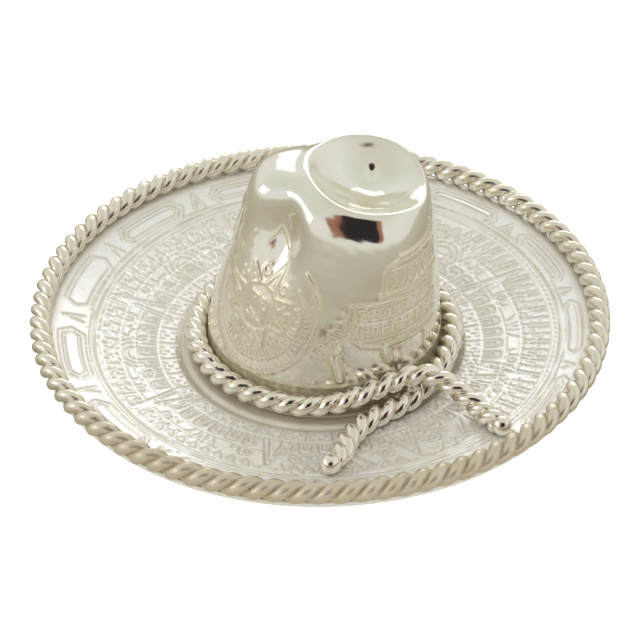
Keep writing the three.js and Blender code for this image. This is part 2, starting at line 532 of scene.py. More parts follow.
@dataclass
class Stamp:
    """Raised lines and dots on a sheet, as heights in millimetres over a grid of places.

    The two coordinates are flat ones, measured along the sheet. Where strokes cross, the higher one
    stands.
    """

    across: np.ndarray
    along: np.ndarray
    line_width: float = 0.40
    line_height: float = 0.16
    flank: float = 0.6  # part of a stroke's half width that its sloping side takes up
    boldness: float = 1.0
    dome_spread: float = 1.6  # foot of a dot as a part of its radius
    heights: np.ndarray = field(init=False)

    def __post_init__(self) -> None:
        """Starts with a plain sheet."""
        self.heights = np.zeros_like(self.across)

    def _near(self, points: np.ndarray, reach: float) -> tuple[np.ndarray, ...]:
        """Finds the grid places within reach of the box round some points."""
        low, high = points.min(axis=0) - reach, points.max(axis=0) + reach
        beside = (self.across > low[0]) & (self.across < high[0])
        return np.nonzero(beside & (self.along > low[1]) & (self.along < high[1]))

    def _places(self, near: tuple[np.ndarray, ...]) -> np.ndarray:
        """Gives the flat places of some of the grid's points, one row each."""
        return np.stack([self.across[near], self.along[near]], axis=-1)

    def _lift(self, near: tuple[np.ndarray, ...], distance: np.ndarray, width: float, height: float) -> None:
        """Raises a ridge, flat on top, that slopes down to its foot at a width from its middle."""
        width = width * self.boldness
        ridge = height * smoothstep((width - distance) / (self.flank * width))
        self.heights[near] = np.maximum(self.heights[near], ridge)

    def line(self, *points: Point, width: float = 0.0, height: float = 0.0) -> None:
        """Raises a ridge along straight pieces between points.

        Args:
            points: Ends and corners.
            width: Distance from the middle to the foot, or 0 for the stamp's own.
            height: Height, or 0 for the stamp's own.
        """
        width, height = width or self.line_width, height or self.line_height
        for start, end in zip(np.array(points[:-1]), np.array(points[1:])):
            near = self._near(np.stack([start, end]), width)
            place = self._places(near)
            run = end - start
            part = np.clip((place - start) @ run / max(run @ run, 1e-9), 0.0, 1.0)
            self._lift(near, np.linalg.norm(place - start - part[:, None] * run, axis=1), width, height)

    def arc(
        self,
        centre: Point,
        radius: float,
        start: float = 0.0,
        end: float = 360.0,
        width: float = 0.0,
        height: float = 0.0,
    ) -> None:
        """Raises a ridge along a circle or a part of one, between two angles in degrees."""
        width, height = width or self.line_width, height or self.line_height
        middle = np.array(centre)
        near = self._near(middle[None, :], radius + width)
        place = self._places(near) - middle
        distance = np.abs(np.linalg.norm(place, axis=1) - radius)
        if end - start < 360.0:
            angle = (np.degrees(np.arctan2(place[:, 1], place[:, 0])) - start) % 360.0
            tips = [np.array(polar(degrees, radius)) for degrees in (start, end)]
            off_tips = np.minimum(*(np.linalg.norm(place - tip, axis=1) for tip in tips))
            distance = np.where(angle <= end - start, distance, off_tips)
        self._lift(near, distance, width, height)

    def dot(self, centre: Point, radius: float = 0.3, height: float = 0.0) -> None:
        """Raises a small dome with a flat top."""
        reach = self.dome_spread * radius
        near = self._near(np.array(centre)[None, :], reach)
        distance = np.linalg.norm(self._places(near) - np.array(centre), axis=1)
        self._lift(near, distance, reach, height or self.line_height)


# ----------------------------------------
# The brim
# ----------------------------------------


class Side(Enum):
    """Parts of the brim's ring, which carry different strokes."""

    FRONT = 0.0
    RIGHT = 90.0
    BACK = 180.0
    LEFT = 270.0

    @staticmethod
    def at(bearing: float) -> "Side":
        """Names the part at a bearing, in degrees from the front towards the right."""
        return min(Side, key=lambda side: turned(bearing, side.value))


@dataclass
class Brim:
    """The dished and stamped sheet, with a hole under the crown and a shelf for the edge rope."""

    hole_radius: float = 14.6
    flat_radius: float = 19.6
    slope: float = 0.0983
    dish: float = 0.0074
    shelf_radius: float = 36.6
    shelf_top: float = 4.72
    relief_inner: float = 18.4
    relief_outer: float = 36.5
    relief_fade: float = 0.8
    # painted shade and painted reflection of the edge rope on the sheet inside it: where it starts, and how
    # strong it is
    rope_foot: float = 35.6
    rope_tarnish: float = 0.6
    ledge_radius: float = 19.2
    ledge_width: float = 0.45
    ledge_height: float = 0.4
    ripples: tuple[Ripples, ...] = (Ripples(0.006, 1.1, 5), Ripples(0.02, 7.0, 6))
    around: int = 990
    relief_stations: int = 82
    ray_bearings: tuple[float, ...] = (-56.7, -14.1, 25.9, 69.8, 115.0, 160.0, 205.0, 254.0)
    ring_centre: Point = (-0.5, 1.0)

    def top(self, radius: np.ndarray) -> np.ndarray:
        """Height of the sheet's upper face at a distance from the axis."""
        out = np.maximum(0.0, radius - self.flat_radius)
        dished = SHEET + self.slope * out + self.dish * out * out
        return np.where(radius >= self.shelf_radius, self.shelf_top, dished)

    def profile(self) -> tuple[np.ndarray, np.ndarray, slice]:
        """Lays out the section of the sheet.

        Returns:
            Radii, heights, and the slice of stations that carries the stamped pattern.
        """
        lip = [(38.62, 3.96), (38.7, 4.1), (38.7, 4.6), (38.62, 4.72)]
        shelf = [(37.6, 4.72), (36.75, 4.72)]
        stamped = np.linspace(self.relief_outer, self.relief_inner, self.relief_stations)
        relief = [(r, float(self.top(np.array(r)))) for r in stamped]
        hole = [(14.75, SHEET), (self.hole_radius, 0.7), (self.hole_radius, 0.1), (14.75, 0.0)]
        inner = [(17.2, SHEET), *hole]
        under = [(r, float(self.top(np.array(r))) - SHEET) for r in (19.6, 24.0, 28.5, 32.5, 36.5)]
        under.append((37.5, 3.93))
        section = np.array([*lip, *shelf, *relief, *inner, *under])
        first = len(lip) + len(shelf)
        return section[:, 0], section[:, 1], slice(first, first + self.relief_stations)

    def build(self) -> bpy.types.Object:
        """Models the brim.

        Returns:
            The finished piece.
        """
        radii, heights, relief = self.profile()
        piece, turn, station = add_ring_blank("brim", self.around, len(radii))
        angle = np.arange(self.around)[:, None] / self.around * TURN
        radius = np.broadcast_to(radii, (self.around, len(radii)))
        level = np.broadcast_to(heights, radius.shape)
        points = np.stack([radius * np.cos(angle), radius * np.sin(angle), level], axis=-1)
        top = points[:, relief]
        stamp = self.stamp(top)
        lift = stamp.heights.copy()
        for ripple in self.ripples:
            lift += ripple.over(top)
        off_ledge = (radius[:, relief] - self.ledge_radius) / self.ledge_width
        lift += self.ledge_height * np.exp(-(off_ledge**2))
        edge = np.minimum(radii[relief] - self.relief_inner, self.shelf_radius - radii[relief])
        lift *= smoothstep(edge / self.relief_fade)
        normals = grid_normals(points)[:, relief]
        shaped = points.copy()
        shaped[:, relief] += normals * lift[..., None]

        tarnish = np.zeros(radius.shape)
        tarnish[:, relief] = stroke_feet(stamp.heights)
        # Tarnish and painted shade on the sheet round the crown's foot, under the hat band
        band_foot = 1.0 - smoothstep((radius - self.flat_radius) / 0.9)
        # Painted shade and painted reflection of the edge rope, on the sheet inside it
        rope_foot = self.rope_tarnish * smoothstep((radius - self.rope_foot) / 1.4)
        tarnish = np.maximum(tarnish, np.maximum(band_foot, rope_foot))
        place_vertices(piece, shaped[turn, station])
        mark_tarnish_and_shade(piece, tarnish[turn, station])
        finish_piece(piece, BRIM_SILVER, "brim")
        return piece

    def stamp(self, points: np.ndarray) -> Stamp:
        """Draws all bands of the brim's pattern over the relief's grid."""
        stamp = Stamp(-points[..., 1], points[..., 0], boldness=0.74)
        for draw in (
            self.stamp_rings,
            self.stamp_cells,
            self.stamp_combs,
            self.stamp_rays,
            self.stamp_between_rays,
            self.stamp_glyphs,
            self.stamp_plaques,
        ):
            draw(stamp)
        return stamp

    def stamp_rings(self, stamp: Stamp) -> None:
        """Draws the plain rings that part the bands."""
        for radius in (19.85, 22.55, 25.75):
            stamp.arc((0.0, 0.0), radius, width=0.34, height=0.12)
        for radius in (31.35, 31.95, 32.75):
            stamp.arc(self.ring_centre, radius, width=0.36, height=0.17)

    def stamp_cells(self, stamp: Stamp) -> None:
        """Draws the innermost band: cells with a dotted cross in each."""
        cells = 39
        for number in range(cells):
            middle = number * 360.0 / cells
            bar = middle + 180.0 / cells
            stamp.line(polar(bar, 20.0), polar(bar, 22.4), width=0.42)
            for side in (-1.0, 1.0):
                stamp.dot(polar(middle + 2.0 * side, 20.6), 0.26)
                stamp.dot(polar(middle + 2.0 * side, 21.95), 0.26)
            stamp.dot(polar(middle, 21.4), 0.32)

    def stamp_combs(self, stamp: Stamp) -> None:
        """Draws the band of nested hoops, closed on their outer side."""
        hoops = 60
        for number in range(hoops):
            bearing = number * 360.0 / hoops + 1.5
            if any(turned(bearing, ray) < 3.2 for ray in self.ray_bearings):
                continue
            for half, reach in ((0.78, 25.1), (0.26, 24.2)):
                spread = math.degrees(half / 24.0)
                stamp.line(
                    polar(bearing - spread * 1.05, 23.0),
                    polar(bearing - spread, reach - 0.3),
                    polar(bearing - spread * 0.6, reach),
                    polar(bearing + spread * 0.6, reach),
                    polar(bearing + spread, reach - 0.3),
                    polar(bearing + spread * 1.05, 23.0),
                    width=0.34,
                    height=0.2,
                )

    def stamp_rays(self, stamp: Stamp) -> None:
        """Draws the narrow double-lined rays that point outwards."""
        for bearing in self.ray_bearings:
            sideways = Side.at(bearing) in (Side.LEFT, Side.RIGHT)
            foot = 21.6 if sideways else 23.2
            tip = 30.6 if sideways else 29.2
            for half, inset in ((1.75, 0.0), (0.95, 1.5)):
                spread = math.degrees(half / foot)
                end = polar(bearing, tip - inset)
                stamp.line(polar(bearing - spread, foot), end, width=0.4, height=0.22)
                stamp.line(polar(bearing + spread, foot), end, width=0.4, height=0.22)
            for side in (-1.0, 1.0):
                turn = bearing + side * 7.4
                stamp.arc(polar(turn, 27.0), 0.85, width=0.34)
                stamp.dot(polar(turn, 27.0), 0.22)
                stamp.arc(polar(turn + side * 2.9, 26.9), 0.75, turn + 90.0, turn + 270.0, width=0.3)

    def stamp_between_rays(self, stamp: Stamp) -> None:
        """Draws what fills the space between two rays: a scrolled arch, or a feathered fan."""
        bearings = sorted(b % 360.0 for b in self.ray_bearings)
        for number, (start, end) in enumerate(zip(bearings, bearings[1:] + [bearings[0] + 360.0])):
            middle = 0.5 * (start + end)
            side = Side.at(middle)
            if side in (Side.LEFT, Side.BACK):
                for radius in (1.4, 2.3, 3.1):
                    stamp.arc(polar(middle, 25.6), radius, middle - 105.0, middle + 105.0, width=0.38)
                for lean in (-1.0, 1.0):
                    stamp.arc(polar(middle + lean * 9.4, 25.1), 1.3, 0.0, 360.0, width=0.36)
                    stamp.arc(polar(middle + lean * 10.6, 27.0), 1.0, middle, middle + 200.0, width=0.34)
            else:
                for lean in (-6.0, -2.0, 2.0, 6.0):
                    foot = polar(middle + lean * 0.55, 26.2)
                    stamp.line(foot, polar(middle + lean, 28.2), width=0.32, height=0.14)
                stamp.dot(polar(middle, 27.2), 0.36)
            for step in range(-9, 10):
                lean = step * 1.9
                if abs(lean) > 0.5 * (end - start) - 3.4:
                    continue
                flip = 0.8 if (step + number) % 2 else -0.8
                foot = polar(middle + lean - flip, 28.6)
                stamp.line(foot, polar(middle + lean + flip, 30.2), width=0.3, height=0.13)

    def stamp_glyphs(self, stamp: Stamp) -> None:
        """Draws the outer band: cells with curls on the left, slanted strokes on the right, dots in front."""
        dice = np.random.default_rng(11)
        for number in range(52):
            bearing = number * 360.0 / 52.0
            side = Side.at(bearing)
            if side in (Side.LEFT, Side.BACK):
                stamp.line(polar(bearing, 27.9), polar(bearing, 30.9), width=0.34)
                stamp.line(polar(bearing + 1.0, 27.9), polar(bearing + 1.0, 30.9), width=0.3)
                stamp.arc(polar(bearing + 3.9, 29.9), 0.62, bearing - 60.0, bearing + 150.0, width=0.32)
                stamp.arc(polar(bearing + 3.9, 28.7), 0.62, bearing - 150.0, bearing + 60.0, width=0.32)
                stamp.dot(polar(bearing + 5.6, 29.3), 0.26)
            elif side is Side.RIGHT:
                for offset in (0.0, 1.5, 4.2):
                    place = bearing + offset
                    stamp.line(polar(place + 0.9, 28.3), polar(place - 0.7, 31.6), width=0.34, height=0.17)
                stamp.line(polar(bearing + 2.8, 30.4), polar(bearing + 4.3, 31.0), width=0.3)
            else:
                lean = dice.uniform(-1.0, 1.0)
                foot = polar(bearing - 1.6, 30.0 + 0.2 * lean)
                stamp.line(foot, polar(bearing + 1.2, 30.6), width=0.3)
                stamp.dot(polar(bearing + 3.0, 30.3), 0.26)
            stamp.dot(polar(bearing, 33.0 + 0.7 * math.sin(math.radians(bearing))), 0.24, 0.11)
        stamp.arc((0.0, 0.0), 27.75, 215.0, 330.0, width=0.36)
        stamp.arc((0.0, 0.0), 27.95, 52.0, 125.0, width=0.32)
        for step in range(44):
            bearing = 50.0 + 1.9 * step
            stamp.dot(polar(bearing, 32.35 + 0.35 * math.sin(math.radians(bearing))), 0.28)
        for bearing in (66.0, 73.5):
            for lean in (-1.0, 1.0):
                centre = polar(bearing - lean * 7.5, 25.0)
                low, high = (10.0, 150.0) if lean > 0 else (190.0, 330.0)
                stamp.arc(centre, 3.9, bearing + low - 2.0, bearing + high + 2.0, width=0.36)

    def stamp_plaques(self, stamp: Stamp) -> None:
        """Draws the outermost band: large outlined plaques with slanted ends."""
        for number in range(13):
            bearing = number * 360.0 / 13.0 + 4.0
            low = 33.5 + 0.75 * math.sin(math.radians(bearing))
            high = 36.0
            for inset, width in ((0.0, 0.42), (0.75, 0.3)):
                half = 9.6 - 1.4 * inset
                inner, outer = low + inset * 0.8, high - inset * 0.8
                middle = 0.5 * (inner + outer)
                corners = [
                    (bearing - half, middle),
                    (bearing - half + 1.8, outer),
                    *((bearing + t * (half - 1.8), outer) for t in (-0.5, 0.0, 0.5, 1.0)),
                    (bearing + half, middle),
                    (bearing + half - 1.8, inner),
                    *((bearing + t * (half - 1.8), inner) for t in (0.5, 0.0, -0.5, -1.0)),
                    (bearing - half, middle),
                ]
                if inset and number % 3 == 0:
                    continue
                stamp.line(*(polar(b, r) for b, r in corners), width=width, height=0.17)
            gap = bearing + 180.0 / 13.0
            stamp.line(polar(gap - 1.2, low + 0.2), polar(gap, high - 0.2), width=0.34)
            stamp.line(polar(gap + 1.2, low + 0.2), polar(gap, high - 0.2), width=0.34)


# ----------------------------------------
# The crown
# ----------------------------------------


@dataclass(frozen=True)
class Pinch:
    """A hollow pressed into the front of the crown by finger and thumb."""

    x: float
    y: float
    z: float
    amount: float
    reach_back: float = 2.7
    reach_front: float = 4.2
    reach_side: float = 3.9
    reach_up: float = 6.4
    push: Triple = (0.45, 0.66, 0.5)

    def press(self, x: np.ndarray, y: np.ndarray, z: np.ndarray) -> tuple[np.ndarray, ...]:
        """Pushes the points of a skin backwards, inwards and down, the more the nearer they are.

        Args:
            x: Places along the first axis, in millimetres.
            y: Places along the second one.
            z: Heights.

        Returns:
            The three sets of places after the push.
        """
        reach_x = np.where(x > self.x, self.reach_back, self.reach_front)
        off = ((x - self.x) / reach_x, (y - self.y) / self.reach_side, (z - self.z) / self.reach_up)
        push = self.amount * np.exp(-(off[0] ** 2 + off[1] ** 2 + off[2] ** 2))
        inwards = -math.copysign(self.push[1], self.y)
        return x + self.push[0] * push, y + inwards * push, z - self.push[2] * push


@dataclass
class Crown:
    """The hollow crown: narrow at the front end, dented on top and stamped round its wall."""

    height: float = 29.7
    wall: float = 0.9
    foot_radius: float = 17.6
    foot_thickness: float = 0.55
    centre: Point = (0.6, 0.25)
    left: float = 15.7
    left_in: float = 6.4
    right: float = 16.9
    right_in: float = 1.5
    right_round: float = 1.0
    side: float = 15.95
    side_in: float = 1.4
    side_round: float = 3.8
    pear: float = 0.28
    square: float = 0.3
    edge_power: float = 3.4
    top_power: float = 20.0
    tilt_y: float = -0.02
    tilt_x: float = 0.10
    tilt_from: float = -4.0
    dent_start: float = 0.78
    dent_run: float = 0.14
    dent_centre: Point = (6.6, -0.6)
    dent_reach: Point = (8.2, 9.4)
    dent_depth: float = 4.3
    dent_power: float = 1.2
    dent_skew: float = 0.35
    rim_height: float = 0.45
    rim_width: float = 0.13
    dimple: Point = (7.1, 4.6)
    dimple_radius: float = 0.85
    dimple_depth: float = 0.5
    pinches: tuple[Pinch, ...] = (Pinch(-5.6, -8.8, 25.6, 3.2), Pinch(-1.5, 9.6, 25.5, 1.4))
    dial_bearings: Point = (-132.3, 47.0)
    temple_bearings: Point = (-50.0, 131.0)
    matted_bearings: Point = (-142.0, 40.0)
    welt_height: float = 4.75
    dents: Ripples = Ripples(0.03, 7.0, 21)
    scuffs: Ripples = Ripples(0.005, 1.6, 22)
    matting: Ripples = Ripples(0.010, 0.95, 23)
    stroke_tarnish: float = 1.25
    matt_tarnish: float = 0.3
    # tarnish and painted shade at the crown's foot, above the band and the brim
    foot_tarnish_and_shade: float = 0.85
    around: int = 560
    dome_stations: int = 46
    relief_stations: int = 106
    wall_top: float = 0.88
    wall_foot: float = 0.07

    def skin(self, angle: np.ndarray, spread: np.ndarray, rise: np.ndarray, inset: float = 0.0) -> np.ndarray:
        """Gives points of the outer skin, or of a skin set in from it.

        Args:
            angle: Angle round the axis from +X, in radians.
            spread: Distance from the middle as a part of the wall's.
            rise: Height as a part of the crown's.
            inset: Distance between the two skins.

        Returns:
            Places in millimetres, with x, y and z in the last axis.
        """
        ease = smoothstep(rise)
        left = self.left - self.left_in * ease
        right = self.right - self.right_in * rise - self.right_round * rise**3
        side = self.side - self.side_in * rise - self.side_round * rise**2 - inset
        middle = 0.5 * (right - left)
        middle = middle + (self.dent_centre[0] - middle) * np.clip(1.0 - spread, 0.0, 1.0) ** 1.5 * ease
        reach = 0.5 * (right + left) - inset
        squared = 2.0 / (2.0 + self.square * ease)
        across = np.sign(np.cos(angle)) * np.abs(np.cos(angle)) ** squared
        along = np.sign(np.sin(angle)) * np.abs(np.sin(angle)) ** squared
        x = middle + reach * spread * across
        y = self.centre[1] * (1.0 - rise) + side * spread * along * (1.0 + self.pear * ease * across)
        z = SHEET + SOLDER_FILM + (self.height - inset) * rise
        z = z + rise**4 * (self.tilt_y * y - self.tilt_x * (x - self.tilt_from))
        dent_x = (x - self.dent_centre[0]) / self.dent_reach[0]
        dent_y = (y - self.dent_centre[1]) / self.dent_reach[1]
        bowl = np.clip(1.0 - dent_x**2 - dent_y**2, 0.0, None) ** self.dent_power
        bowl = bowl * (1.0 + self.dent_skew * dent_y)
        ridge = np.exp(-(((np.hypot(dent_x, dent_y) - 1.0) / self.rim_width) ** 2))
        off_dimple = np.hypot(x - self.dimple[0], y - self.dimple[1]) / self.dimple_radius
        pressed = self.dent_depth * bowl + self.dimple_depth * np.exp(-(off_dimple**2))
        z = z + smoothstep((rise - self.dent_start) / self.dent_run) * (self.rim_height * ridge - pressed)
        for pinch in self.pinches:
            x, y, z = pinch.press(x, y, z)
        return np.stack([x, y, z], axis=-1)

    def on_dome(self, count: int, start: float) -> list[Point]:
        """Lays stations from the top's middle out over the shoulder.

        Args:
            count: How many stations, the middle one included.
            start: Rise at which the wall takes over.

        Returns:
            Pairs of spread and rise.
        """
        last = math.asin(start ** (self.top_power / 2.0))
        turns = np.linspace(math.pi / 2.0, last, count)
        powers = 2.0 / self.edge_power, 2.0 / self.top_power
        return [(math.cos(t) ** powers[0], math.sin(t) ** powers[1]) for t in turns]

    def on_wall(self, rises: Sequence[float]) -> list[Point]:
        """Lays stations down the wall, as pairs of spread and rise."""
        return [((1.0 - rise**self.top_power) ** (1.0 / self.edge_power), rise) for rise in rises]

    def surface(self) -> tuple[np.ndarray, slice]:
        """Lays out the whole shell: outer skin, foot flange and inner skin.

        Returns:
            Places with axes (round, station, xyz), and the slice of stations on the outer skin.
        """
        angle = np.arange(self.around) / self.around * TURN

        def around(station: Point, inset: float = 0.0) -> np.ndarray:
            """Runs one ring of the skin round the crown, at a spread and a rise."""
            return self.skin(angle, *(np.full_like(angle, part) for part in station), inset)

        dome = self.on_dome(self.dome_stations, 0.885)
        wall = self.on_wall(np.linspace(self.wall_top, self.wall_foot, self.relief_stations))
        outer = [around(station) for station in dome + wall]
        foot_z = SHEET + SOLDER_FILM
        rim = np.stack([self.foot_radius * np.cos(angle), self.foot_radius * np.sin(angle)], axis=-1)
        rim += np.array(self.centre)
        low = around((1.0, 0.03))
        fillet = [
            np.column_stack([low[:, :2] * (1.0 - t) + rim * t, np.full_like(angle, z)])
            for t, z in ((0.15, foot_z + 1.0), (0.5, foot_z + 0.66), (0.9, foot_z + self.foot_thickness))
        ]
        flange = [np.column_stack([rim, np.full_like(angle, foot_z + z)]) for z in (0.45, 0.05)]
        inner_low = around((1.0, 0.0), self.wall)
        rim_under = rim * 0.98 + 0.02 * inner_low[:, :2]
        under = [np.column_stack([rim_under, np.full_like(angle, foot_z)]), inner_low]
        upwards = self.on_wall((0.1, 0.3, 0.5, 0.7, 0.84)) + self.on_dome(9, 0.9)[::-1]
        inner = [around(station, self.wall) for station in upwards]
        stations = [*outer, *fillet, *flange, *under, *inner]
        return np.stack(stations, axis=1), slice(0, len(outer))

    def build(self) -> bpy.types.Object:
        """Models the crown.

        Returns:
            The finished piece.
        """
        points, outside = self.surface()
        piece, turn, station = add_shell_blank("crown", self.around, points.shape[1] - 1)
        skin = points[:, outside]
        relief = self.stamp(skin)
        matt = self.matted(skin)
        plain = self.dents.over(skin) + self.scuffs.over(skin) + self.matting.over(skin) * matt
        lift = relief + plain * smoothstep((skin[..., 2] - 2.5) / 2.0)
        lift[:, 0] = 0.0
        normals = grid_normals(points)[:, outside]
        normals[:, 0] = np.array([0.0, 0.0, 1.0])
        shaped = points.copy()
        shaped[:, outside] += normals * lift[..., None]

        tarnish = np.zeros(points.shape[:2])
        strokes = self.stroke_tarnish * stroke_feet(relief)
        tarnish[:, outside] = np.maximum(strokes, self.matt_tarnish * matt)
        # Tarnish and painted shade on the wall's foot, where it meets the band and the brim
        foot = 1.0 - smoothstep((points[..., 2] - 4.6) / 1.5)
        tarnish = np.maximum(tarnish, self.foot_tarnish_and_shade * foot)
        place_vertices(piece, shaped[turn, station])
        mark_tarnish_and_shade(piece, tarnish[turn, station])
        finish_piece(piece, CROWN_SILVER, "crown")
        return piece

    def matted(self, points: np.ndarray) -> np.ndarray:
        """Tells where matting punches have roughened the wall: round the dials, and near the foot.

        Args:
            points: The outer skin.

        Returns:
            Amounts from 0 to 1.
        """
        bearing = np.degrees(np.arctan2(points[..., 1], points[..., 0]))
        near = sum(1.0 - smoothstep((turned(bearing, at) - 34.0) / 14.0) for at in self.matted_bearings)
        band = smoothstep((points[..., 2] - 4.0) / 3.0) * (1.0 - smoothstep((points[..., 2] - 19.0) / 5.0))
        low = 0.9 * (1.0 - smoothstep((points[..., 2] - 7.5) / 4.0))
        return np.maximum(near * band, low)

    def flat_sheet(self, points: np.ndarray, degrees: float) -> Stamp:
        """Unrolls the wall round a bearing into flat coordinates.

        Args:
            points: The outer skin.
            degrees: Angle from +X, where the first coordinate is 0.

        Returns:
            An empty stamp: distance round the wall, and height.
        """
        count = points.shape[0]
        step = np.linalg.norm(np.roll(points, -1, axis=0) - points, axis=-1)
        run = np.cumsum(step, axis=0) - step
        start = round((degrees % 360.0) / 360.0 * count) % count
        length = step.sum(axis=0)
        around = (run - run[start] + 0.5 * length) % length - 0.5 * length
        out_of_reach = 99.0  # keeps the strokes off the crown's top
        stamp = Stamp(around, points[..., 2].copy(), line_width=0.36, line_height=0.12)
        stamp.along[:, : self.dome_stations // 2] = out_of_reach
        return stamp

    def stamp(self, points: np.ndarray) -> np.ndarray:
        """Draws the sun dial and the temple, each twice, and the welt over the band."""
        heights = 0.14 * np.exp(-(((points[..., 2] - self.welt_height) / 0.35) ** 2))
        for draw, bearings in (
            (self.stamp_dial, self.dial_bearings),
            (self.stamp_temple, self.temple_bearings),
        ):
            for degrees in bearings:
                sheet = self.flat_sheet(points, degrees)
                draw(sheet)
                heights = np.maximum(heights, sheet.heights)
        return heights

    def stamp_dial(self, sheet: Stamp) -> None:
        """Draws a sun dial: two rims, rays, small rings and a square with strokes at its heart."""
        middle = (0.0, 14.2)
        sheet.arc(middle, 9.2, 150.0, 405.0, width=0.38, height=0.17)
        sheet.arc(middle, 8.6, 190.0, 385.0, width=0.2, height=0.06)
        sheet.arc(middle, 7.05, 170.0, 395.0, width=0.34, height=0.16)
        sheet.arc(middle, 3.2, width=0.26, height=0.12)

        def at(degrees: float, radius: float) -> Point:
            """Gives the place on the dial at an angle and a radius."""
            across, along = polar(degrees, radius)
            return middle[0] + across, middle[1] + along

        for number in range(8):
            ray = 22.5 + number * 45.0
            reach = 6.4 if number % 2 else 5.6
            for lean in (-1.0, 1.0):
                sheet.line(at(ray + lean * 13.0, 3.4), at(ray, reach), width=0.28, height=0.18)
            sheet.line(at(ray, 3.7), at(ray, reach - 1.4), width=0.18, height=0.08)
            sheet.arc(at(ray + 22.5, 4.9), 0.6, ray, ray + 260.0, width=0.26, height=0.15)
            sheet.dot(at(ray + 22.5, 4.9), 0.16, 0.08)
        for number in range(30):
            turn = 228.0 + number * 5.0
            sheet.line(at(turn, 5.9), at(turn + 1.5, 6.8), width=0.26, height=0.15)
        for number in range(34):
            turn = 180.0 + number * 6.0
            sheet.line(at(turn, 7.5), at(turn + 3.0, 8.4), width=0.18, height=0.04)
        for corner in range(4):
            turn = 45.0 + corner * 90.0 - 12.0
            sheet.line(at(turn, 2.2), at(turn + 90.0, 2.2), width=0.28, height=0.16)
            sheet.line(at(turn, 1.2), at(turn + 60.0, 1.2), width=0.26, height=0.13)
        sheet.line(at(140.0, 10.4), at(128.0, 7.6), at(112.0, 9.6), width=0.22, height=0.1)
        sheet.line(at(100.0, 8.2), at(90.0, 10.2), at(78.0, 8.0), width=0.22, height=0.1)

    def stamp_temple(self, sheet: Stamp) -> None:
        """Draws a stepped temple: beaded roof, upper tier, two rows of windows, and two posts."""
        for step in range(17):
            sheet.dot((-0.6 + step * 0.55, 23.7), 0.26, 0.2)
        sheet.line((-0.8, 23.3), (8.6, 23.2), width=0.3)
        sheet.line((-2.6, 22.4), (-0.9, 23.2), width=0.34, height=0.16)
        sheet.line((-3.2, 18.9), (-2.9, 21.9), (8.4, 21.6), width=0.3)
        for step in range(9):
            across = -2.2 + step * 1.25
            sheet.line((across, 19.4), (across + 0.1, 21.4), width=0.26, height=0.12)
            sheet.line((across + 0.5, 19.9), (across + 0.55, 21.1), width=0.24, height=0.08)
        sheet.line((-3.6, 18.7), (2.0, 18.3), (8.2, 18.3), width=0.46, height=0.18)
        for top, bottom, left in ((17.2, 14.9, -7.4), (14.4, 11.8, -6.9)):
            sheet.line((left, top), (7.0, top + 0.2), width=0.34, height=0.16)
            sheet.line((left, bottom), (7.2, bottom - 0.3), width=0.34, height=0.16)
            sheet.line((left, top), (left - 0.2, bottom), width=0.34, height=0.16)
            for step in range(10):
                across = left + 0.75 + step * 1.42
                sheet.line((across, bottom + 0.5), (across, top - 0.45), width=0.3, height=0.17)
                sheet.line((across, top - 0.5), (across + 0.75, top - 0.5), width=0.28, height=0.17)
                if step % 2:
                    hook = (across + 0.75, bottom + 0.9)
                    sheet.line((across + 0.75, top - 0.6), hook, width=0.26, height=0.12)
                else:
                    sheet.dot((across + 0.75, bottom + 0.8), 0.26, 0.15)
        terrace = ((-7.3, 12.2), (-6.2, 11.0), (-3.4, 10.3), (0.5, 10.3), (7.2, 9.9))
        sheet.line(*terrace, width=0.42, height=0.2)
        sheet.line((-9.9, 9.2), (-9.5, 7.8), (-9.2, 6.0), width=0.8, height=0.42)
        sheet.line((-3.0, 10.2), (-2.8, 9.2), (-2.2, 7.8), width=0.8, height=0.4)
        sheet.line((4.4, 9.8), (4.6, 8.6), (4.4, 7.2), width=0.55, height=0.28)
        dice = np.random.default_rng(4)
        for _ in range(150):
            place = dice.uniform(0.0, 1.0)
            across = -11.8 + 4.0 * place + dice.normal(0.0, 0.55)
            along = 9.6 + 5.6 * place + dice.normal(0.0, 0.5)
            sheet.dot((across, along), dice.uniform(0.14, 0.24), dice.uniform(0.05, 0.11))


# ----------------------------------------
# Ropes, balls and solder
# ----------------------------------------


class Strand(Enum):
    """The two wires of a rope, half a turn apart."""

    FIRST = 0.0
    SECOND = math.pi


